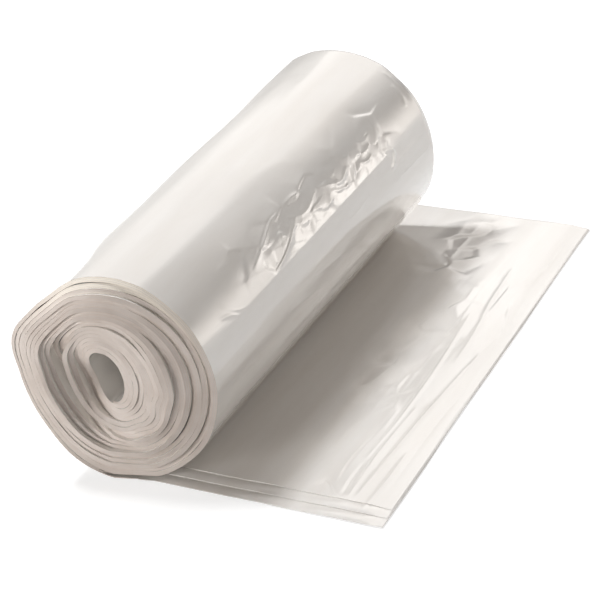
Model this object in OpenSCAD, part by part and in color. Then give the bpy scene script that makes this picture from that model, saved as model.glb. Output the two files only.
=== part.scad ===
// Roll of bin bags without a core tube, lying on its side with its loose end
// pulled out flat. The bags are one continuous web of folded film, joined at
// perforations, so the roll is a single solid: a spiral strip that runs on into
// the loose end. X points from the roll towards the loose end, Y along the roll
// to its far end and Z up. The origin lies on the surface below the roll's axis,
// at half the roll's length.

/* [Web] */
// Length of the roll, which is the width of the folded web
roll_length = 290; // [200:5:420]
// Thickness of the folded web, all its layers together
web_thickness = 1.5; // [1:0.1:2.4]
// Folded layers that show at the edge of the web
web_layers = 3; // [2:1:4]

/* [Winding] */
// Turns of web on the roll
turns = 18; // [10:1:22]
// Least gap between two neighbouring turns
turn_gap = 0.35; // [0.3:0.05:0.8]
// Width of the flat that the soft roll rests on
rest_width = 26; // [16:1:36]
// How much wider in radius the roll is at its far end
far_growth = 0.8; // [0:0.1:2]
// Bulge of the near end's upper side, away from the loose end
corner_bulge = 2.5; // [0:0.5:4]
// Dent below that bulge
side_dent = 2.5; // [0:0.5:4]

/* [Hollow] */
// Hollow in the middle, across its narrow way
hollow_width = 18; // [12:1:22]
// Hollow in the middle, along its long way
hollow_height = 27; // [22:1:34]
// Lean of the hollow's long way from upright
hollow_lean = 18; // [0:1:45]
// Distance that the hollow lies off the roll's axis, away from the loose end
hollow_aside = 6; // [0:0.5:8]
// Distance that the hollow lies above the roll's axis
hollow_above = 1.5; // [0:0.5:4]

/* [Ends] */
// Depth of the crescent groove between the outer and the inner turns
groove_depth = 11; // [0:0.5:20]
// Depth of the crescent groove round the innermost turns
inner_depth = 7; // [0:0.5:16]
// How far the inner turns stay back behind the rim
inner_setback = 3; // [0:0.5:8]
// Depth of the shallow dish in the far end
far_dish = 4; // [0:0.5:12]
// Step between neighbouring layers at the near end of the roll
roll_step = 0.8; // [0:0.1:2]

/* [Loose end] */
// Reach of the loose end from the middle of the roll
loose_reach = 139; // [80:1:300]
// Slant of the loose end's edges towards the near end
loose_slant = 13.7; // [0:0.1:20]
// Slant of the line along which the loose end was torn off
torn_slant = 1.7; // [0:0.1:6]
// How far the web's far edge stands out where it leaves the roll
loose_shift = 30; // [0:1:40]
// Step between neighbouring layers at the loose end's near edge
loose_step = 7.5; // [0:0.5:12]

/* [Hidden] */

// Bounds of the two grooves, as shares of the winding from the hollow to the rim
groove_bounds = [0.42, 0.6];
inner_bounds = [0.12, 0.33];
// Share of the winding over which a groove reaches its depth, about one turn
drop_share = 0.05;
// Direction in which the grooves are deepest
groove_angle = 200;
// Directions and half width of the bulge and the dent
bulge_angle = 147;
dent_angle = 197;
soft_width = 48;
// The web leaves the bottom of the roll
start_angle = 270;
// Turn after which the web's edges lie in line with the other turns
settle_turn = 0.33;
// Distance over which the slant of the loose end's edges sets in
slant_start = 12;

// A cross section of the web is a closed outline with a stair at its near edge,
// one tread for each layer. Each entry is a layer boundary and a stair number.
stair = [for (layer = [0:web_layers - 1], side = [0, 1]) [layer + side, layer]];
ring_size = len(stair) + 2;
layer_thickness = web_thickness / web_layers;

// Pieces that the winding and the loose end are divided into
winding_steps = round(4960 / ring_size);
loose_steps = 14;

hollow_radius = hollow_height / 2 + web_thickness;
hollow_shift = norm([hollow_aside, hollow_above]);
rim_radius = hollow_radius + hollow_shift + turns * (web_thickness + turn_gap);
near_axis = resting_height(rim_radius);
far_axis = resting_height(rim_radius + far_growth);

function mix(a, b, share) = a * (1 - share) + b * share;
function ease(value) = let (v = max(0, min(1, value))) v * v * (3 - 2 * v);

// Height at which the axis lies over the flat that the roll rests on
function resting_height(radius) = sqrt(pow(radius, 2) - pow(rest_width / 2, 2));

// Smooth hump of a width about a direction, 1 at its middle
function hump(angle, middle, width) =
    let (off = abs(((angle - middle) % 360 + 540) % 360 - 180))
    off < width ? (1 + cos(180 * off / width)) / 2 : 0;

// Reach of the rim in a direction, flat where it rests on the surface
function flat_reach(angle, radius, height) =
    let (down = -sin(angle))
    down * radius > height ? height / down : radius;
function near_reach(angle) =
    flat_reach(angle, rim_radius, near_axis)
    + corner_bulge * hump(angle, bulge_angle, soft_width)
    - side_dent * hump(angle, dent_angle, soft_width);
function far_reach(angle) = flat_reach(angle, rim_radius + far_growth, far_axis);

// Reach of the innermost turn's outside in a direction
function hollow_reach(angle) =
    let (
        turned = angle - 90 - hollow_lean,
        along = cos(turned) / (hollow_height / 2),
        across = sin(turned) / (hollow_width / 2)
    )
    web_thickness + 1 / norm([along, across]);

// Turn reached after some of the winding steps: they are short at the rim, and
// take in more of a turn towards the hollow
function turn_at(step) =
    let (
        inner = pow(hollow_radius, 1.5),
        outer = pow(rim_radius, 1.5),
        radius = pow(mix(outer, inner, step / winding_steps), 2 / 3)
    )
    turns * (rim_radius - radius) / (rim_radius - hollow_radius);

// Share of the winding at a turn, counted from the rim inwards
function share_at(turn) = 1 - turn / turns;

// Direction from the axis at a turn
function angle_at(turn) = start_angle - 360 * turn;

// Point of the web's cross section, some way in from its outside
function winding_point(turn, inwards, rim, height) =
    let (
        share = share_at(turn),
        angle = angle_at(turn),
        reach = mix(hollow_reach(angle), rim, share) - inwards,
        hollow_centre = [-hollow_aside, height + hollow_above],
        centre = mix(hollow_centre, [0, height], share)
    )
    centre + reach * [cos(angle), sin(angle)];
function near_point(turn, inwards) =
    winding_point(turn, inwards, near_reach(angle_at(turn)), near_axis);
function far_point(turn, inwards) =
    winding_point(turn, inwards, far_reach(angle_at(turn)), far_axis);

// Part of its full depth that a groove has in a direction: deep on one side,
// less deep on the other and shallow above and below
function crescent(angle) =
    let (c = cos(angle - groove_angle))
    0.15 + c * c * (0.64 + 0.21 * c);

// Part of its full depth that a groove has at a share of the winding
function trough(share, bounds) =
    ease((share - bounds[0]) / drop_share) * ease((bounds[1] - share) / drop_share);

// How far a turn's edge lies behind the near rim, and behind the far rim
function near_sink(turn) =
    let (share = share_at(turn), deep = crescent(angle_at(turn)))
    inner_setback * ease(1.6 * (1 - share))
    + groove_depth * deep * trough(share, groove_bounds)
    + inner_depth * deep * trough(share, inner_bounds);
function far_sink(turn) = far_dish * sin(180 * pow(share_at(turn), 2));

// Section of the web on the roll
function winding_ring(turn) =
    let (
        settled = ease(turn / settle_turn),
        near = near_sink(turn) - roll_length / 2,
        far = roll_length / 2 - far_sink(turn) + mix(loose_shift, 0, settled),
        step = mix(loose_step, roll_step, settled),
        inside = far_point(turn, web_thickness),
        outside = far_point(turn, 0)
    )
    concat(
        [for (s = stair)
            let (p = near_point(turn, s[0] * layer_thickness))
            [p[0], near + s[1] * step, p[1]]],
        [[inside[0], far, inside[1]], [outside[0], far, outside[1]]]
    );

// Section of the web on the loose end, at a distance from the roll's middle
function loose_ring(distance) =
    let (
        slide = -tan(loose_slant) * (distance - slant_start / 2 * ease(distance / slant_start)),
        far = roll_length / 2 + loose_shift + slide,
        near = -roll_length / 2 + slide,
        torn = -tan(torn_slant) * distance / loose_reach
    )
    concat(
        [for (s = stair)
            let (y = near + s[1] * loose_step)
            [distance + torn * y, y, s[0] * layer_thickness]],
        [[distance + torn * far, far, web_thickness], [distance + torn * far, far, 0]]
    );

// Closed solid through a list of rings, each with the same number of points
module ring_sweep(rings, size) {
    last = len(rings) - 1;
    sides = [for (i = [0:last - 1], k = [0:size - 1])
        let (
            a = i * size + k,
            b = i * size + (k + 1) % size,
            c = (i + 1) * size + (k + 1) % size,
            d = (i + 1) * size + k
        )
        each [[a, b, c], [a, c, d]]];
    start_cap = [for (k = [0:size - 1]) size - 1 - k];
    end_cap = [for (k = [0:size - 1]) last * size + k];
    polyhedron(
        points = [for (ring = rings) each ring],
        faces = concat(sides, [start_cap], [end_cap])
    );
}

// The whole web, from its torn end to the innermost turn
module bag_roll() {
    loose = [for (i = [loose_steps:-1:1]) loose_ring(loose_reach * i / loose_steps)];
    wound = [for (i = [0:winding_steps]) winding_ring(turn_at(i))];
    color("gainsboro") ring_sweep(concat(loose, wound), ring_size);
}

bag_roll();
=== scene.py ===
import bpy
import math
import numpy as np
from mathutils import Matrix, Vector


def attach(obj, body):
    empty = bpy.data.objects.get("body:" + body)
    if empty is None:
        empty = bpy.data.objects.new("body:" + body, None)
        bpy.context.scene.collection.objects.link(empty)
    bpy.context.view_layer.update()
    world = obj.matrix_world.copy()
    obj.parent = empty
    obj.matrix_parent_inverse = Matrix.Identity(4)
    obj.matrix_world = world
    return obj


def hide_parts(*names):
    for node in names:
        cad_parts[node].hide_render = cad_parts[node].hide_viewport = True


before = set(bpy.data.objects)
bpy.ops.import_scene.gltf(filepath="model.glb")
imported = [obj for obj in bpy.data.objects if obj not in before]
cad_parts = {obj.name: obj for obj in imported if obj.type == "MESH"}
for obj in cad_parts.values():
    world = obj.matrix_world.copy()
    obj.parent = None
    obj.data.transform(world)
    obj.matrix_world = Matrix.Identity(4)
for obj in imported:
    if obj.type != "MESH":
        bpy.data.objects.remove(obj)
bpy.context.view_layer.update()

# The roll of bin bags is shown as three meshes: the outer turn, the inner turns and the loose
# end. They follow the solid's own formulas, with finer edges, creases and soft forms. A turn
# number counts from the rim, and a share of the winding is 0 at the hollow and 1 at the rim.
# Directions are in degrees round the roll's axis, from +X upwards, and v is 0 at the near end
# and 1 at the far end. Lengths are in millimetres up to mesh_piece, and in metres after it.

# The web's measures, as in the solid
LENGTH = 290.0
WEB = 1.5
LAYERS = 3
TURNS = 18.0
GAP = 0.35
START_ANGLE = 270
REST = 26.0
FAR_GROWTH = 0.8
BULGE = 2.5
BULGE_AT = 147
DENT = 2.5
DENT_AT = 197
SOFT_WIDTH = 48
HOLLOW_W = 18.0
HOLLOW_H = 27.0
LEAN = 18.0
ASIDE = 6.0
ABOVE = 1.5
GROOVE_DEPTH = 11.0
GROOVE_AT = 200
INNER_DEPTH = 7.0
FAR_DISH = 4.0
LOOSE_STEP = 7.5
REACH = 139.0
SLANT = 13.7
TORN = 1.7
SHIFT = 30.0
SETTLE = 0.33
SLANT_START = 12.0

MM = 0.001
HOLLOW_R = HOLLOW_H / 2 + WEB
RIM = HOLLOW_R + math.hypot(ASIDE, ABOVE) + TURNS * (WEB + GAP)
NEAR_AXIS = math.sqrt(RIM**2 - (REST / 2) ** 2)
FAR_AXIS = math.sqrt((RIM + FAR_GROWTH) ** 2 - (REST / 2) ** 2)
# Length of one degree along the rim
DEGREE = math.pi / 180 * RIM

# Humps of the near rim and of the inner turns: height, direction, half width
BLUNT_CORNER = [(2.3, 159, 18), (-2.6, 128, 24), (1.2, 187, 30)]
PRESSED_CORNERS = [(1.5, -47, 26), (1.0, -12, 20), (0.9, -90, 22), (-0.9, -30, 14), (-0.8, -69, 16)]
# Share of the length over which the blunt corner fades, and where the inner turns are pressed
CORNER_SHARE = 0.25
PRESSED_AT = 0.36
PRESSED_WIDTH = 0.14

# Sides of the near end: direction, half width
RIGHT = (10, 110)
LEFT = (190, 100)
TOP = (92, 80)
BOTTOM = (270, 85)

# Depths at the near end: of the inner turns behind the crest, in general and on the left
DISH = 2.0
LEFT_DISH = 6.6
# of the rim behind the crest, in general and at the top
ROUNDING = 2.2
TOP_ROUNDING = 4.6
# of the outer turns on the right, the groove on the left and the innermost turn
FALLEN_DEPTH = 6.8
LEFT_DEPTH = 17.0
INNERMOST_DEPTH = 1.2
# Grooves: bounds as shares of the winding, and the widths of their inner and outer walls
LEFT_GROOVE = (0.33, 0.59, 0.05, 0.13)
PLAIN_GROOVE = (0.34, 0.66, 0.05, 0.19)
INNER_GROOVE = (0.02, 0.28, 0.10, 0.06)

# Ridges along the roll: height, direction, its drift for each mm, half width, sharpness
RIDGES = [(0.45, 61, -0.03, 7.0, 1.3), (0.35, 101, 0.0, 8.0, 1.4), (0.5, 127, -0.03, 9.0, 1.4)]

# Crumpled fields: their box across and along the web, cells each way, slope, seed
ROLL_FACETS = [
    (((12, 52), (-100, 112)), (3, 9), 0.03, 31),
    (((15, 40), (-80, 100)), (4, 18), 0.022, 33),
    (((140, 200), (-110, 120)), (3, 8), 0.03, 35),
]
LOOSE_FACETS = [
    (((70, 114), (-90, 90)), (3, 8), 0.025, 41),
    (((94, 139), (-168, 140)), (4, 5), 0.02, 43),
    (((44, 98), (76, 160)), (3, 5), 0.022, 47),
]

# Small swellings of the loose end: x, y, height, radius
SWELLINGS = [(92, -50, 0.35, 4.5), (88, -2, 0.40, 5.0), (90, 8, 0.2, 4.0), (84, 62, 0.18, 7.0)]

# Creases on the roll: kind, points as (direction, mm along the roll), height, width
ROLL_CREASES = [
    ("fold", [(29, -73), (33, -60), (37, -48), (40.5, -36), (41, -26)], 0.65, 1.7),
    ("fold", [(19, -58), (22, -44), (27, -30), (33, -16)], 0.65, 1.6),
    ("crease", [(33, -62), (31, -48), (34, -34)], -0.25, 1.6),
    ("crease", [(41.5, -16), (41, -6), (39, 3)], 0.35, 1.1),
    ("crease", [(34, -22), (30, -8), (33, 6), (37, 16)], 0.28, 1.2),
    ("crease", [(35, 14), (30, 26), (27, 36), (31, 48)], 0.32, 1.2),
    ("crease", [(27, 2), (23, 10), (24, 20)], 0.25, 1.0),
    ("crease", [(28, 22), (24, 30), (22, 42)], 0.25, 1.0),
    ("fold", [(33, 52), (28, 55), (21, 46)], -0.5, 1.5),
    ("crease", [(32, 60), (29, 68), (30, 78)], 0.35, 1.2),
    ("fold", [(38, 66), (34, 74), (35, 84)], 0.4, 1.3),
    ("crease", [(27, 58), (24, 66), (25, 74)], 0.3, 1.0),
    ("fold", [(30, 88), (24, 81), (19, 82)], 0.45, 1.3),
    ("crease", [(21, 84), (17, 94), (11, 90), (8, 84)], 0.4, 1.2),
    ("crease", [(8, 18), (7, 36), (8, 54)], 0.28, 1.6),
    ("crease", [(10, 70), (9.5, 100), (10, 143)], 0.25, 1.4),
    ("crease", [(0.5, 84), (0.5, 112), (-1, 143)], 0.3, 1.4),
    ("crease", [(-6, -55), (-9, -36), (-12, -20)], 0.25, 1.6),
    ("crease", [(-2, -20), (-5, 0), (-7, 16)], 0.2, 1.4),
    ("crease", [(52, 140.4), (40, 140.2), (22, 141.2), (4, 141.6)], -0.3, 1.5),
    ("crease", [(54, 137.0), (40, 136.4), (26, 137.4)], 0.4, 1.5),
    ("crease", [(44, 132.0), (35, 130.6), (29, 128)], 0.4, 1.5),
    ("crease", [(24, -118), (21, -108), (17, -101)], 0.22, 0.8),
    ("crease", [(28, -112), (22, -104), (18, -95)], 0.18, 0.8),
]

# Creases on the loose end: kind, points as (x, y), height, width
LOOSE_CREASES = [
    ("crease", [(117.5, -154), (116.5, -130), (116, -100), (117, -66)], 0.4, 0.9),
    ("crease", [(121.5, -154), (122.5, -125), (124, -80), (126, -44), (128, -10)], 0.45, 1.0),
    ("crease", [(111.5, -118), (113, -80), (112, -34), (109.5, 0), (106, 38)], 0.4, 1.0),
    ("crease", [(114, -152), (112.5, -138), (112, -122)], -0.3, 0.9),
    ("fold", [(96, -146), (101, -141), (110, -151), (121, -158)], 0.6, 1.8),
    ("crease", [(129, -166), (131, -140), (130, -110)], 0.35, 1.1),
    ("crease", [(134, 4), (130, 26), (124, 48)], 0.25, 1.3),
    ("crease", [(119, -20), (117, 14), (112, 52), (110, 90)], 0.3, 1.1),
    ("crease", [(53, -18), (50.5, 8), (47, 46)], 0.12, 2.4),
    ("crease", [(136, -150), (134.5, -100), (136, -40)], 0.25, 1.2),
]
RANDOM_ROLL_CREASES = 46
RANDOM_LOOSE_CREASES = 30
# Share by which the random creases are higher on the side that the photograph doesn't show
HIDDEN_GAIN = 1.6

# Shape of the meshes. The outer turn ends at a turn number, where the inner turns begin.
SPLIT = 1.1
OUTER_RINGS = 280
INNER_RINGS = 1900
LOOSE_RINGS = 210
# Points along the outer turn's outside, the inner turns and the loose end's upper side
OUTER_POINTS = 290
INNER_POINTS = 9
LOOSE_POINTS = 330
TREAD_POINTS = 4
CURVE_POINTS = 24
SHARP_ANGLE = 38
# Share of the web's thickness by which a layer's edge stays inside the layer, on each side
EDGE_INSET = 0.02
# How round a layer's edge is, and how far the flat sides start from it
ROLL_BULGE = 0.07
ROLL_LIP = 0.1
LOOSE_BULGE = 0.15
LOOSE_LIP = 0.3
LOOSE_FAR_STEP = 0.3
# The loose end: height of the puffed film between its layers, length over which it thins out
# to its torn edge, and how far the torn layers end out of line
PUFF = 0.45
TORN_EDGE = 12
STAGGER = 1.2
# The innermost turn is thicker, and its end is thin
INNERMOST_THICKNESS = 1.8
END_THICKNESS = 0.25


# Mixing, easing, humps and waves


def mix(a, b, t):
    return a * (1 - t) + b * t


def ease(v):
    v = np.clip(v, 0, 1)
    return v * v * (3 - 2 * v)


def rise(value, start, end):
    """Eases from 0 at the start to 1 at the end, which may lie below the start."""
    return ease((value - start) / (end - start))


def hump(angle, middle, width):
    """A smooth hump about a direction, 1 at its middle and 0 beyond its half width."""
    off = np.abs((angle - middle + 180) % 360 - 180)
    return np.where(off < width, (1 + np.cos(np.pi * np.minimum(off / width, 1))) / 2, 0)


def humps(angle, table):
    """The sum of the humps in a table of heights, directions and half widths."""
    return sum(height * hump(angle, middle, width) for height, middle, width in table)


def smooth_noise(t, waves, seed):
    """A sum of sines with seeded phases, from about -1 to 1."""
    r = np.random.default_rng(seed)
    total = 0
    for w in waves:
        total = total + np.sin(2 * np.pi * t * w * r.uniform(0.8, 1.2) + r.uniform(0, 6.28))
    return total / math.sqrt(len(waves))


# Sections of the web: the solid's, with blunter corners


def share_at(turn):
    return 1 - turn / TURNS


def angle_at(turn):
    return START_ANGLE - 360 * turn


def flat_reach(angle, radius, height):
    """Reach of the rim in a direction, flat where it rests on the surface."""
    down = -np.sin(np.radians(angle))
    return np.where(down * radius > height, height / np.maximum(down, 1e-6), radius)


def rim_reach(angle, v):
    """Reach of the rim, with the near end's soft bulge, dent and blunt corner."""
    near = flat_reach(angle, RIM, NEAR_AXIS)
    near = near + BULGE * hump(angle, BULGE_AT, SOFT_WIDTH) - DENT * hump(angle, DENT_AT, SOFT_WIDTH)
    near = near + humps(angle, BLUNT_CORNER) * (1 - ease(v / CORNER_SHARE))
    return mix(near, flat_reach(angle, RIM + FAR_GROWTH, FAR_AXIS), v)


def hollow_reach(angle):
    """Reach of the innermost turn's outside."""
    turned = np.radians(angle - 90 - LEAN)
    return WEB + 1 / np.hypot(np.cos(turned) / (HOLLOW_H / 2), np.sin(turned) / (HOLLOW_W / 2))


def kinks(angle, share):
    """The inner turns are pressed into blunt corners on their lower side."""
    return humps(angle, PRESSED_CORNERS) * np.exp(-(((share - PRESSED_AT) / PRESSED_WIDTH) ** 2))


def section(turn, inwards, v, relief=0.0):
    """(x, z) of a point of the web at a turn, some way in from its outside."""
    share = share_at(turn)
    angle = angle_at(turn)
    reach = mix(hollow_reach(angle), rim_reach(angle, v), share)
    reach = reach - inwards + relief + kinks(angle, share)
    centre_x = mix(-ASIDE, 0, share)
    centre_z = mix(NEAR_AXIS, FAR_AXIS, v) + mix(ABOVE, 0, share)
    a = np.radians(angle)
    return centre_x + reach * np.cos(a), centre_z + reach * np.sin(a)


# The ends of the roll


def crescent(angle):
    """Part of its full depth that a groove has in a direction."""
    c = np.cos(np.radians(angle - GROOVE_AT))
    return 0.15 + c * c * (0.64 + 0.21 * c)


def trough(share, low, high, low_wall, high_wall):
    """Part of its full depth that a groove has at a share of the winding."""
    return ease((share - low) / low_wall) * ease((high - share) / high_wall)


def crest_at(angle):
    """Share of the winding at which the turns stand out furthest, in a direction."""
    return 0.44 + 0.2 * hump(angle, 190, 110)


def near_sink(turn):
    """How far a turn's edge lies behind the near rim."""
    share = share_at(turn)
    angle = angle_at(turn)
    deep = crescent(angle)
    crest = crest_at(angle)
    right = hump(angle, *RIGHT)
    left = hump(angle, *LEFT)
    # inwards from the crest lies a soft dish, and outwards a rounded rim
    sink = mix(DISH, LEFT_DISH, left) * ease(1.15 * (crest - share) / crest)
    side = 1 - hump(angle, *BOTTOM)
    sink = sink + ROUNDING * rise(share, crest, 1) * side * (1 - right)
    sink = sink + TOP_ROUNDING * rise(share, 0.84, 1) * hump(angle, *TOP)
    # on the right the outer turns fall back behind the inner ones, up to a raised rim
    fallen = FALLEN_DEPTH * np.clip((share - 0.42) / 0.42, 0, 1)
    sink = sink + right * fallen * (1 - 0.45 * rise(share, 0.91, 0.98))
    # one groove parts the outer turns from the inner ones, and one lies round the innermost
    sink = sink + LEFT_DEPTH * deep * left * trough(share, *LEFT_GROOVE)
    sink = sink + GROOVE_DEPTH * deep * (1 - left) * (1 - right) * trough(share, *PLAIN_GROOVE)
    sink = sink + INNER_DEPTH * deep * trough(share, *INNER_GROOVE) * (1 - 0.8 * right)
    sink = sink + INNERMOST_DEPTH * rise(share, 0.07, 0.02)
    # soft bands of turns stand out or fall back, but less so on the left of the outer turns
    bands = 0.9 * smooth_noise(turn, (0.19, 0.31, 0.47), 3) + 0.3 * smooth_noise(turn, (1.4, 2.3), 8)
    bands = bands * (1 - 0.85 * hump(angle, 165, 105) * rise(share, 0.6, 0.72))
    fine = 0.06 * smooth_noise(turn, (7.3, 13.0), 4) * rise(turn, 0, 0.5)
    return sink + bands * rise(turn, 0.8, 2.3) + fine


def far_sink(turn):
    return FAR_DISH * np.sin(np.pi * share_at(turn) ** 2)


def near_line(turn):
    return near_sink(turn) - LENGTH / 2


def far_line(turn):
    return LENGTH / 2 - far_sink(turn) + SHIFT * (1 - ease(turn / SETTLE))


def layer_steps(turn):
    """Step between a turn's layers at the near end.

    Towards the outside, the layers fall back on the outer turns and stand out on the inner ones.
    """
    share = share_at(turn)
    angle = angle_at(turn)
    left = hump(angle, 200, 115)
    inner = ease((crest_at(angle) - share) / 0.12 + 0.5)
    step = mix(mix(-0.38, -0.05, left), mix(0.0, 0.6, left), inner)
    # the lip inside the left groove, the top of the rim and its bottom
    step = step - 0.25 * hump(angle, 200, 95) * np.exp(-(((share - 0.31) / 0.03) ** 2))
    step = step - 0.15 * hump(angle, 110, 70) * rise(share, 0.8, 0.95)
    step = step + 0.5 * hump(angle, 268, 75) * rise(share, 0.75, 0.9)
    step = step + 0.11 * smooth_noise(turn, (0.7, 1.3, 2.9), 12) * (1 - 0.8 * left * (1 - inner))
    return mix(LOOSE_STEP, step, rise(turn, 0, 0.07))


def far_step(turn):
    """Step between the layers' far edges: wide where the outer layers have slipped back."""
    return 0.5 + 2.4 * hump(angle_at(turn), 12, 60) * rise(turn, 1.2, 0.9)


def turn_gaps(turn):
    """Gap that shows between a turn and the next one: most are narrow and a few stand open."""
    share = share_at(turn)
    angle = angle_at(turn)
    loose = np.maximum(0, smooth_noise(turn, (0.37, 0.83, 1.9), 14)) ** 2
    right = hump(angle, -20, 80) * rise(share, 0.4, 0.6)
    left = hump(angle, 175, 100) * rise(share, 0.5, 0.7)
    return (0.03 + 0.10 * loose) * (1 - left) + 0.05 * right * loose + 0.03 * right


# Creases and crumpled film


def distance_to_line(px, py, line):
    """Distance of points from a polyline, and how far along it the nearest point is, 0 to 1."""
    line = np.asarray(line, float)
    lengths = np.hypot(*np.diff(line, axis=0).T)
    starts = np.concatenate([[0], np.cumsum(lengths)])
    best = np.full(px.shape, 1e9)
    along = np.zeros(px.shape)
    for k in range(len(lengths)):
        (ax, ay), (bx, by) = line[k], line[k + 1]
        t = np.clip(((px - ax) * (bx - ax) + (py - ay) * (by - ay)) / lengths[k] ** 2, 0, 1)
        d = np.hypot(px - ax - t * (bx - ax), py - ay - t * (by - ay))
        nearer = d < best
        best = np.where(nearer, d, best)
        along = np.where(nearer, (starts[k] + t * lengths[k]) / starts[-1], along)
    return best, along


def curve_through(points):
    """A smooth curve through points, as a polyline."""
    p = np.asarray(points, float)
    p = np.vstack([2 * p[0] - p[1], p, 2 * p[-1] - p[-2]])
    out = []
    spans = len(p) - 3
    for k in range(spans):
        a, b, c, d = p[k : k + 4]
        for t in np.linspace(0, 1, CURVE_POINTS // spans, endpoint=False):
            square = (2 * a - 5 * b + 4 * c - d) * t**2
            cube = (3 * b - a - 3 * c + d) * t**3
            out.append(0.5 * (2 * b + (c - a) * t + square + cube))
    out.append(p[-2])
    return np.array(out)


def fading(along):
    """Falls to 0 at both ends of a curve."""
    return np.clip(np.sin(np.pi * np.clip(along, 0, 1)), 0, 1) ** 0.6


def crease(px, py, points, height, width):
    """A narrow ridge, or a valley if the height is below 0."""
    d, along = distance_to_line(px, py, curve_through(points))
    return height * fading(along) * np.exp(-((d / width) ** 1.4))


def fold(px, py, points, height, width):
    """A tuck: steep on one side of a curve, and falling slowly away on the other."""
    line = curve_through(points)
    d, along = distance_to_line(px, py, line)
    beside, _ = distance_to_line(px, py, line + np.array([0.35 * width, 0]))
    ridge = np.exp(-((d / width) ** 1.2))
    valley = np.exp(-((beside / (0.5 * width)) ** 1.5))
    return height * fading(along) * (ridge - 0.6 * valley)


FORMS = {"crease": crease, "fold": fold}


def facets(px, py, box, cells, slope, seed):
    """Crumpled film: small flat faces at slight tilts that meet in ridges, inside a box."""
    r = np.random.default_rng(seed)
    (x0, x1), (y0, y1) = box
    wide = (x1 - x0) / cells[0]
    long = (y1 - y0) / cells[1]
    total = 0
    weights = 1e-9
    for i in range(cells[0]):
        for j in range(cells[1]):
            dx = px - x0 - (i + r.uniform(0.1, 0.9)) * wide
            dy = py - y0 - (j + r.uniform(0.1, 0.9)) * long
            tilt_x, tilt_y = slope * r.normal(0, 1, 2)
            w = np.exp(-16 * ((dx / wide) ** 2 + (dy / long) ** 2))
            total = total + w * (tilt_x * dx + tilt_y * dy * wide / long)
            weights = weights + w
    inside_x = ease((px - x0) / wide) * ease((x1 - px) / wide)
    inside_y = ease((py - y0) / long) * ease((y1 - py) / long)
    return inside_x * inside_y * total / weights


def roll_relief(angle, y, turn):
    """How far the outer turn stands out from its plain section."""
    arc = angle * DEGREE
    # soft flats between blunt ridges that run along the roll
    out = 0.42 * np.exp(-np.abs(angle - 17.5) / 6.5) * rise(y, -135, -75) * rise(y, 112, 82)
    for height, middle, drift, width, sharpness in RIDGES:
        off = np.abs(angle - (middle + drift * y))
        out = out + height * np.exp(-((off / width) ** sharpness))
    out = out + 0.12 * smooth_noise(angle / 360, (5, 9, 13), 5) * rise(turn, 0, 0.15)
    out = out + 0.10 * smooth_noise(y / 290 + angle / 200, (1.5, 3.0), 6)
    for field in ROLL_FACETS:
        out = out + facets(arc, y, *field)
    for kind, points, height, width in ROLL_CREASES:
        line = [(a * DEGREE, b) for a, b in points]
        out = out + FORMS[kind](arc, y, line, height, width)
    # the far rim is rounded over its last 3 mm
    out = out - 0.4 * ease(1 - (far_line(turn) - y) / 3)
    r = np.random.default_rng(11)
    for _ in range(RANDOM_ROLL_CREASES):
        a = r.uniform(60, 250)
        b = r.uniform(-130, 125)
        lean = r.normal(0, 7)
        long = r.uniform(18, 70)
        ends = [(a, b - long / 2), (a + lean * 0.3, b), (a + lean, b + long / 2)]
        line = [(p * DEGREE, q) for p, q in ends]
        hidden = 1 + HIDDEN_GAIN * float(rise(a, 128, 153))
        out = out + crease(arc, y, line, hidden * r.uniform(-0.10, 0.14), r.uniform(1.6, 4.0))
    return out


def loose_relief(x, y):
    """How far the loose end's upper side lies above its plain place."""
    waves = 1 + np.sin(2 * np.pi * (x / 52 + 0.10 * np.sin(y / 55)))
    slow = 0.16 * waves * rise(x, 45, 85)
    slow = slow + 0.10 * (1 + smooth_noise(y / 300 + x / 400, (1, 2.2), 9)) * rise(x, 30, 70)
    curl = 0.3 * rise(x, 118, 140) ** 2 * (0.55 + 0.45 * np.sin(y / 34 + 0.6))
    out = slow + curl
    for field in LOOSE_FACETS:
        out = out + facets(x, y, *field)
    for kind, points, height, width in LOOSE_CREASES:
        out = out + FORMS[kind](x, y, points, height, width)
    for at_x, at_y, height, radius in SWELLINGS:
        off = ((x - at_x) / radius) ** 2 + ((y - at_y) / (1.8 * radius)) ** 2
        out = out + height * np.exp(-off)
    r = np.random.default_rng(21)
    for _ in range(RANDOM_LOOSE_CREASES):
        a = r.uniform(60, 138)
        b = r.uniform(-150, 130)
        long = r.uniform(20, 90)
        line = [(a, b - long / 2), (a + r.normal(0, 1.5), b), (a + r.normal(0, 3), b + long / 2)]
        out = out + crease(x, y, line, r.uniform(-0.05, 0.09), r.uniform(1.4, 3.2))
    return out


# Meshes


def uneven(start, end, count, middle, half, gain):
    """Places from start to end that lie closer together within half of the middle."""
    t = np.linspace(start, end, 3000)
    density = 1 + gain * np.exp(-(((t - middle) / half) ** 4))
    total = np.concatenate([[0], np.cumsum((density[1:] + density[:-1]) / 2)])
    return np.interp(np.linspace(0, total[-1], count), total, t)


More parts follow.
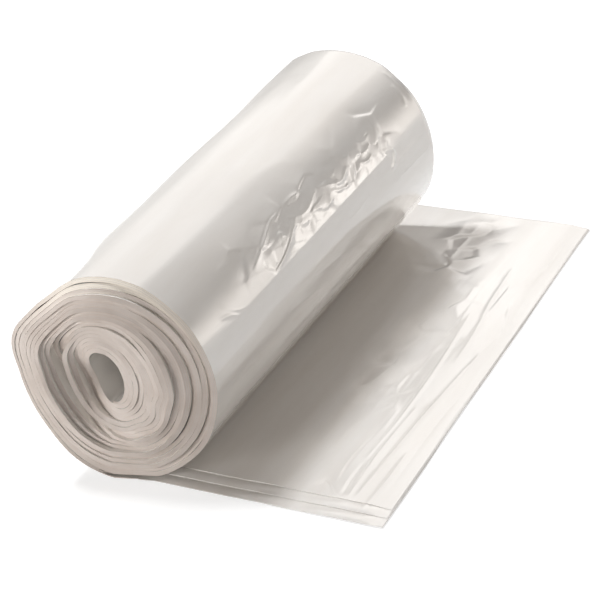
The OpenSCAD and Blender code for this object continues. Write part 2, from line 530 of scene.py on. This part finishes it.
def mesh_piece(name, rings, materials, slots, painted_glow=None):
    """A closed mesh through rings of equal length. slots gives each ring segment's material."""
    count, size = rings.shape[:2]
    i, k = np.meshgrid(np.arange(count - 1), np.arange(size), indexing="ij")
    a = i * size + k
    b = i * size + (k + 1) % size
    quads = np.stack([a, b, b + size, a + size], -1).reshape(-1, 4)
    start_cap = list(range(size - 1, -1, -1))
    end_cap = list(range((count - 1) * size, count * size))
    faces = quads.tolist() + [start_cap, end_cap]
    mesh = bpy.data.meshes.new(name)
    mesh.from_pydata((rings.reshape(-1, 3) * MM).tolist(), [], faces)
    for m in materials:
        mesh.materials.append(m)
    face_slots = np.concatenate([np.tile(slots, count - 1), [0, 0]]).astype(np.int32)
    mesh.polygons.foreach_set("material_index", face_slots)
    mesh.polygons.foreach_set("use_smooth", np.ones(len(faces), bool))
    # a mark for the painted glow of light through the film at the top of the rim
    if painted_glow is not None:
        attribute = mesh.attributes.new("painted_glow", "FLOAT", "POINT")
        attribute.data.foreach_set("value", painted_glow.ravel().astype(np.float32))
    mesh.update()
    mesh.set_sharp_from_angle(angle=math.radians(SHARP_ANGLE))
    obj = bpy.data.objects.new(name, mesh)
    bpy.context.scene.collection.objects.link(obj)
    return obj


def edge_profile():
    """Points across the folded edges, from outside to inside.

    Each is a share of the thickness, a layer and a bulge. Three points make a layer's edge, and
    the points of a tread lead from it to the next layer.
    """
    out = []
    for k in range(LAYERS):
        out.append((k / LAYERS + EDGE_INSET, k, 0.0))
        out.append(((k + 0.5) / LAYERS, k, 1.0))
        out.append(((k + 1) / LAYERS - EDGE_INSET, k, 0.0))
        if k < LAYERS - 1:
            for t in np.linspace(0, 1, TREAD_POINTS + 2)[1:-1]:
                out.append(((k + 1) / LAYERS, k + t, 0.0))
    return np.array(out)


PROFILE = edge_profile()


def ring_points(near, near_step, ramp, far, far_back, along_top, along_bottom, bulge, lip):
    """Depth share, y, layer and material slot of the points of each ring.

    A ring runs along the near stair, the inner side, the far stair and the outer side.
    """
    last = LAYERS - 1
    s, k, b = (PROFILE[:, j][None] for j in range(3))
    columns = (np.asarray(q)[:, None] for q in (near, near_step, ramp, far, far_back))
    near, near_step, ramp, far, far_back = columns
    one = np.ones_like(near)
    # a stair of separate layers on the loose end, and one slanted edge on the roll
    stair = near + mix(k, s * LAYERS - 0.5, ramp) * near_step - bulge * b
    back = far - (last - k[:, ::-1]) * far_back + bulge * b[:, ::-1]
    along = np.linspace(0, 1, along_top)[None]
    top = mix(near + last * near_step + lip, far - lip, along)
    along = np.linspace(0, 1, along_bottom)[None]
    bottom = mix(far - last * far_back - lip, near + lip, along)
    y = np.hstack([stair, top, back, bottom])
    depth = np.hstack([s * one, np.ones_like(top), s[:, ::-1] * one, np.zeros_like(bottom)])
    layer = np.hstack([k * one, last * np.ones_like(top), k[:, ::-1] * one, np.zeros_like(bottom)])
    # slot 1 for the edge of each layer, and slot 0 for the treads and the flat sides
    edges = ([1, 1, 0] + [0] * TREAD_POINTS) * last + [1, 1, 0]
    slots = edges + [0] * along_top + edges + [0] * along_bottom
    return depth, y, layer, np.array(slots)


def roll_rings(turns, dense, sparse, relief=None):
    """Rings of the wound web, with dense points along its outside and sparse ones inside."""
    depth, y, _, slots = ring_points(
        near=near_line(turns),
        near_step=layer_steps(turns),
        ramp=rise(turns, 0, 0.2),
        far=far_line(turns),
        far_back=far_step(turns),
        along_top=sparse,
        along_bottom=dense,
        bulge=ROLL_BULGE,
        lip=ROLL_LIP,
    )
    t = turns[:, None] * np.ones_like(y)
    v = (y + LENGTH / 2) / LENGTH
    out = relief(angle_at(t), y, t) if relief else 0.0
    # the web fills its place up to a narrow gap to the next turn
    outer_x, outer_z = section(t, 0.0, v)
    inner_x, inner_z = section(np.minimum(t + 1, TURNS), 0.0, v)
    room = np.hypot(outer_x - inner_x, outer_z - inner_z) - turn_gaps(t)
    thick = np.where(t < TURNS - 1, np.maximum(room, WEB), WEB)
    thick = mix(WEB, thick, rise(t, 0.05, 0.45))
    thick = thick * mix(1, INNERMOST_THICKNESS, rise(t, TURNS - 1, TURNS - 0.5))
    thick = thick * mix(1, END_THICKNESS, rise(t, TURNS - 0.12, TURNS))
    x, z = section(t, depth * thick, v, out)
    # at the top of the rim the edges are marked for a lighter colour: a painted glow of light shining
    # through the film there
    painted_glow = hump(angle_at(t), 78, 88) * rise(share_at(t - depth), 0.87, 0.94)
    return np.stack([x, y, np.maximum(z, 0.0)], -1), slots, painted_glow


def loose_rings(distances, dense, sparse):
    """Rings of the loose end, with dense points along its upper side and sparse ones below."""
    d = distances
    slide = -math.tan(math.radians(SLANT)) * (d - SLANT_START / 2 * ease(d / SLANT_START))
    depth, y, layer, slots = ring_points(
        near=slide - LENGTH / 2,
        near_step=0 * d + LOOSE_STEP,
        ramp=0 * d,
        far=slide + LENGTH / 2 + SHIFT,
        far_back=0 * d + LOOSE_FAR_STEP,
        along_top=dense,
        along_bottom=sparse,
        bulge=LOOSE_BULGE,
        lip=LOOSE_LIP,
    )
    d = d[:, None] * np.ones_like(y)
    torn = -math.tan(math.radians(TORN)) * d / REACH * y
    # the torn edge is wavy and thin, and its layers end out of line
    last = rise(d, REACH - TORN_EDGE, REACH)
    wavy = 0.25 * np.sin(y / 23 + 1) + 0.12 * np.sin(y / 9.3)
    wavy = wavy - 0.8 * np.exp(-(((y + 79) / 22) ** 2))
    stagger = STAGGER * (LAYERS - 1 - layer) / (LAYERS - 1) - STAGGER / 2
    x = d + torn + last * (wavy + stagger)
    z = depth * WEB * (1 - 0.5 * last) + loose_relief(d + torn, y)
    # the film is a little puffed between the layers' edges
    puffed = np.sin(np.pi * (layer % 1)) ** 0.7 * (depth > 0.1) * (depth < 0.9)
    z = z + PUFF * puffed * rise(d, 0, 25) * (1 - last)
    z = np.where(depth < 0.01, np.maximum(0.0, z - 0.05), z)
    return np.stack([x, y, z], -1), slots


# Materials


def add_node(tree, kind, values=None, **settings):
    """A new node, with its settings and then its input values by name."""
    node = tree.nodes.new(kind)
    for key, value in settings.items():
        setattr(node, key, value)
    for key, value in (values or {}).items():
        node.inputs[key].default_value = value
    return node


def larger(tree, a, b):
    """The larger of two outputs."""
    node = add_node(tree, "ShaderNodeMath", operation="MAXIMUM")
    tree.links.new(a, node.inputs[0])
    tree.links.new(b, node.inputs[1])
    return node.outputs[0]


def film_material(name, base, tint, roughness, metallic, coat, specular):
    """Film: two colours in fine streaks along the roll, and an uneven gloss."""
    material = bpy.data.materials.new(name)
    material.use_nodes = True
    tree = material.node_tree
    link = tree.links.new
    bsdf = tree.nodes["Principled BSDF"]
    bsdf.inputs["Metallic"].default_value = metallic
    bsdf.inputs["IOR"].default_value = 1.5
    bsdf.inputs["Specular IOR Level"].default_value = specular
    bsdf.inputs["Coat Weight"].default_value = coat
    bsdf.inputs["Coat Roughness"].default_value = 0.06
    coords = add_node(tree, "ShaderNodeTexCoord")
    # streaks that are long in the direction of the roll
    stretch = add_node(tree, "ShaderNodeMapping", {"Scale": (60, 9, 60)})
    link(coords.outputs["Object"], stretch.inputs["Vector"])
    streaks = add_node(tree, "ShaderNodeTexNoise", {"Scale": 1.0, "Detail": 5.0, "Roughness": 0.62})
    link(stretch.outputs["Vector"], streaks.inputs["Vector"])
    spread = add_node(tree, "ShaderNodeMapRange", {"From Min": 0.3, "From Max": 0.65})
    link(streaks.outputs["Fac"], spread.inputs["Value"])
    colours = {"A": (*tint, 1), "B": (*base, 1)}
    blend = add_node(tree, "ShaderNodeMix", colours, data_type="RGBA")
    link(spread.outputs["Result"], blend.inputs["Factor"])
    link(blend.outputs["Result"], bsdf.inputs["Base Color"])
    bump = add_node(tree, "ShaderNodeBump", {"Strength": 0.25, "Distance": 0.0004})
    link(streaks.outputs["Fac"], bump.inputs["Height"])
    link(bump.outputs["Normal"], bsdf.inputs["Normal"])
    # gloss that changes slowly from place to place
    cloud = add_node(tree, "ShaderNodeTexNoise", {"Scale": 14.0, "Detail": 3.0})
    link(coords.outputs["Object"], cloud.inputs["Vector"])
    gloss = {"From Min": 0.3, "From Max": 0.7, "To Min": roughness - 0.05, "To Max": roughness + 0.06}
    uneven_gloss = add_node(tree, "ShaderNodeMapRange", gloss)
    link(cloud.outputs["Fac"], uneven_gloss.inputs["Value"])
    link(uneven_gloss.outputs["Result"], bsdf.inputs["Roughness"])
    return material


def paint_glow_where_marked(material, colour):
    """Mixes in a lighter colour where the mesh is marked: a painted glow of light through the film."""
    tree = material.node_tree
    link = tree.links.new
    socket = tree.nodes["Principled BSDF"].inputs["Base Color"]
    painted_glow = add_node(tree, "ShaderNodeAttribute", attribute_name="painted_glow")
    blend = add_node(tree, "ShaderNodeMix", {"B": (*colour, 1)}, data_type="RGBA")
    link(painted_glow.outputs["Fac"], blend.inputs["Factor"])
    link(socket.links[0].from_socket, blend.inputs["A"])
    link(blend.outputs["Result"], socket)


# The wound film, the dull folded edges, and a paler film: thin film over the white floor on the loose
# end, and painted light that lightens the hollow on the inner turns
GLOSSY = {"roughness": 0.17, "metallic": 0.15, "coat": 1.0, "specular": 0.5}
DULL = {"roughness": 0.5, "metallic": 0.0, "coat": 0.0, "specular": 0.3}
film = film_material("film", (0.84, 0.815, 0.785), (0.79, 0.755, 0.715), **GLOSSY)
flat = film_material("film_pale_and_painted_light", (0.92, 0.895, 0.865), (0.87, 0.835, 0.795), **GLOSSY)
edge = film_material("film_edge", (0.75, 0.67, 0.618), (0.66, 0.573, 0.518), **DULL)
# painted glow: the edges at the top of the rim are lighter, as if lit through the film
paint_glow_where_marked(edge, (0.97, 0.90, 0.80))

coarse = 1
turns = uneven(0, SPLIT, OUTER_RINGS // coarse, middle=0.69, half=0.085, gain=4)
rings, slots, painted_glow = roll_rings(turns, OUTER_POINTS // coarse, 18, roll_relief)
outer = mesh_piece("outer_turn", rings, (film, edge), slots, painted_glow)

# as in the solid, steps that take in more of a turn towards the hollow
powers = mix(RIM**1.5, HOLLOW_R**1.5, np.linspace(0, 1, INNER_RINGS))
turns = TURNS * (RIM - powers ** (2 / 3)) / (RIM - HOLLOW_R)
turns = np.concatenate([[SPLIT], turns[turns > SPLIT + 0.005]])
rings, slots, painted_glow = roll_rings(turns, INNER_POINTS, INNER_POINTS)
# the inner turns take the paler film: painted light that lightens the hollow
inner = mesh_piece("inner_turns", rings, (flat, edge), slots, painted_glow)

distances = uneven(0, REACH, LOOSE_RINGS // coarse, middle=106, half=36, gain=1.5)[::-1]
rings, slots = loose_rings(distances, LOOSE_POINTS // coarse, 12)
loose = mesh_piece("loose_end", rings, (flat, flat), slots)

for piece in (outer, inner, loose):
    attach(piece, "root")
    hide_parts("bag_roll")


# The studio: a floor, a world, a board for the reflections, and lamps


def floor_material():
    """A floor that keeps its shadow, and that the camera and reflections see nearly white."""
    material = bpy.data.materials.new("floor")
    material.use_nodes = True
    tree = material.node_tree
    link = tree.links.new
    tree.nodes.remove(tree.nodes["Principled BSDF"])
    diffuse = add_node(tree, "ShaderNodeBsdfDiffuse", {"Color": (0.45, 0.447, 0.443, 1)})
    # the glow grows with the distance from the object
    coords = add_node(tree, "ShaderNodeTexCoord")
    away = add_node(tree, "ShaderNodeVectorMath", operation="LENGTH")
    link(coords.outputs["Object"], away.inputs[0])
    growth = {"From Min": 0.2, "From Max": 0.9, "To Min": 0.7, "To Max": 0.95}
    spread = add_node(tree, "ShaderNodeMapRange", growth)
    link(away.outputs["Value"], spread.inputs["Value"])
    path = add_node(tree, "ShaderNodeLightPath")
    seen = larger(tree, path.outputs["Is Camera Ray"], path.outputs["Is Glossy Ray"])
    lift = add_node(tree, "ShaderNodeMath", operation="MULTIPLY")
    link(seen, lift.inputs[0])
    link(spread.outputs["Result"], lift.inputs[1])
    glow = add_node(tree, "ShaderNodeEmission")
    link(lift.outputs[0], glow.inputs["Strength"])
    total = add_node(tree, "ShaderNodeAddShader")
    link(diffuse.outputs[0], total.inputs[0])
    link(glow.outputs[0], total.inputs[1])
    link(total.outputs[0], tree.nodes["Material Output"].inputs["Surface"])
    return material


def studio_world():
    """A weak warm light, which the camera sees as white and reflections as a sky."""
    world = bpy.data.worlds.new("studio")
    world.use_nodes = True
    tree = world.node_tree
    link = tree.links.new
    light = tree.nodes["Background"]
    light.inputs["Color"].default_value = (1.0, 0.9, 0.82, 1)
    light.inputs["Strength"].default_value = 0.12
    path = add_node(tree, "ShaderNodeLightPath")
    # the sky is brighter overhead
    coords = add_node(tree, "ShaderNodeTexCoord")
    height = add_node(tree, "ShaderNodeSeparateXYZ")
    link(coords.outputs["Generated"], height.inputs[0])
    growth = {"From Min": -0.05, "From Max": 0.9, "To Min": 0.25, "To Max": 0.55}
    sky = add_node(tree, "ShaderNodeMapRange", growth)
    link(height.outputs["Z"], sky.inputs["Value"])
    shown = add_node(tree, "ShaderNodeBackground", {"Color": (1, 1, 1, 1)})
    link(larger(tree, path.outputs["Is Camera Ray"], sky.outputs["Result"]), shown.inputs["Strength"])
    seen = larger(tree, path.outputs["Is Camera Ray"], path.outputs["Is Glossy Ray"])
    choice = add_node(tree, "ShaderNodeMixShader")
    link(seen, choice.inputs[0])
    link(light.outputs[0], choice.inputs[1])
    link(shown.outputs[0], choice.inputs[2])
    link(choice.outputs[0], tree.nodes["World Output"].inputs["Surface"])
    return world


def area_light(name, toward, distance, size, power, colour):
    """A soft lamp in a direction from the object, that shines at it and stays out of reflections."""
    data = bpy.data.lights.new(name, "AREA")
    data.shape = "RECTANGLE"
    data.size, data.size_y = size
    data.energy = power
    data.color = colour
    lamp = bpy.data.objects.new(name, data)
    bpy.context.scene.collection.objects.link(lamp)
    lamp.visible_glossy = False
    aim = Vector(AIM)
    lamp.location = aim + Vector(toward).normalized() * distance
    lamp.rotation_euler = (aim - lamp.location).to_track_quat("-Z", "Y").to_euler()


def gradient_board(name, y, rows):
    """A studio board behind the object that only reflections show.

    Its glow follows the angle about the roll's axis. Each row is a distance from the axis, and
    the glow at some angles. The roll's far end shows the inner rows.
    """
    first, last = rows[0][1][0][0], rows[0][1][-1][0]
    angles = np.linspace(first, last, BOARD_COLUMNS)
    glow = [np.interp(angles, *zip(*stops)) for _, stops in rows]
    size = len(rows)
    verts = []
    for a in np.radians(angles):
        for radius, _ in rows:
            height = BOARD_AXIS + radius * math.sin(a)
            verts.append((radius * math.cos(a), y, max(BOARD_FOOT, height)))
    faces = []
    for i in range(len(angles) - 1):
        for k in range(size - 1):
            corner = i * size + k
            faces.append((corner, corner + 1, corner + size + 1, corner + size))
    mesh = bpy.data.meshes.new(name)
    mesh.from_pydata(verts, [], faces)
    attribute = mesh.attributes.new("glow", "FLOAT", "POINT")
    attribute.data.foreach_set("value", np.transpose(glow).ravel().astype(np.float32))
    material = bpy.data.materials.new(name)
    material.use_nodes = True
    tree = material.node_tree
    tree.nodes.remove(tree.nodes["Principled BSDF"])
    read = add_node(tree, "ShaderNodeAttribute", attribute_name="glow")
    emit = add_node(tree, "ShaderNodeEmission", {"Color": (1.0, 0.965, 0.93, 1)})
    tree.links.new(read.outputs["Fac"], emit.inputs["Strength"])
    tree.links.new(emit.outputs[0], tree.nodes["Material Output"].inputs["Surface"])
    mesh.materials.append(material)
    board = bpy.data.objects.new(name, mesh)
    bpy.context.scene.collection.objects.link(board)
    board.visible_camera = False
    board.visible_diffuse = False
    board.visible_shadow = False


FLOOR_SIZE = 12
FLOOR_Z = -0.0002
bpy.ops.mesh.primitive_plane_add(size=FLOOR_SIZE, location=(0, 0, FLOOR_Z))
floor = bpy.context.object
floor.name = "floor"
floor.data.materials.append(floor_material())

bpy.context.scene.world = studio_world()

# Point that the lamps shine at, and for each its name, direction, distance, size, power, colour
AIM = (0.03, 0, 0.04)
LAMPS = [
    ("key", (-0.42, 0.14, 0.84), 1.8, (0.33, 0.33), 29, (0.97, 0.985, 1.0)),
    ("left_fill", (-0.66, -0.74, 0.12), 1.7, (0.8, 0.5), 18, (1, 0.985, 0.965)),
    ("right_fill", (0.8, 0.5, 0.2), 1.9, (0.8, 0.8), 9, (1, 0.965, 0.93)),
]
for lamp in LAMPS:
    area_light(*lamp)

# Glow of the board at some angles: what the roll shows at its near end and at its far end
NEAR_GLOW = [
    (-8, 2.3), (5, 2.3), (11, 1.9), (17, 1.4), (26, 0.75), (37, 0.5), (47, 0.55), (60, 0.6), (77, 0.7),
    (87, 0.95), (96, 1.4), (110, 1.3), (128, 1.1), (142, 1.1), (160, 0.8), (185, 0.6), (235, 0.5),
]
FAR_GLOW = [
    (-8, 3.4), (5, 3.4), (11, 2.5), (17, 1.5), (26, 0.65), (37, 0.4), (47, 0.5), (56, 0.9), (65, 1.5),
    (74, 1.7), (96, 1.5), (110, 1.45), (128, 1.3), (142, 1.25), (160, 0.8), (185, 0.6), (235, 0.5),
]
# What the loose end shows: dark beside the roll and bright further out
END_LIMIT = 1.7
END_GLOW = [(angle, min(glow, END_LIMIT)) for angle, glow in FAR_GLOW if angle < 110]
END_GLOW += [(110, 1.35), (120, 1.35), (127, 1.5), (131.5, 1.6), (134, 0.75), (142, 0.4), (235, 0.4)]
# Place of the board, the height of its middle and of its foot, and its rows by radius
BOARD_Y = 1.36
BOARD_AXIS = 0.05
BOARD_FOOT = 0.001
BOARD_COLUMNS = 90
BOARD_ROWS = [
    (0.45, END_GLOW),
    (0.86, END_GLOW),
    (0.92, FAR_GLOW),
    (1.0, FAR_GLOW),
    (1.12, NEAR_GLOW),
    (1.9, NEAR_GLOW),
]
gradient_board("back_board", BOARD_Y, BOARD_ROWS)

# The camera, fitted to the photograph: its place, and its azimuth, elevation and turn in degrees
CAMERA_AT = (0.7114, -1.2462, 0.6614)
CAMERA_ANGLES = (118.71, -24.09, 11.36)
data = bpy.data.cameras.new("camera")
data.sensor_width = 36
data.lens = 180.2
camera = bpy.data.objects.new("camera", data)
bpy.context.scene.collection.objects.link(camera)
bpy.context.scene.camera = camera
azimuth, elevation, turn = (math.radians(v) for v in CAMERA_ANGLES)
ahead = math.cos(elevation)
forward = Vector((ahead * math.cos(azimuth), ahead * math.sin(azimuth), math.sin(elevation)))
level = forward.cross(Vector((0, 0, 1))).normalized()
right = level * math.cos(turn) - level.cross(forward) * math.sin(turn)
up = right.cross(forward)
pose = Matrix((right, up, -forward)).transposed().to_4x4()
pose.translation = Vector(CAMERA_AT)
camera.matrix_world = pose

view = bpy.context.scene.view_settings
view.view_transform = "Standard"
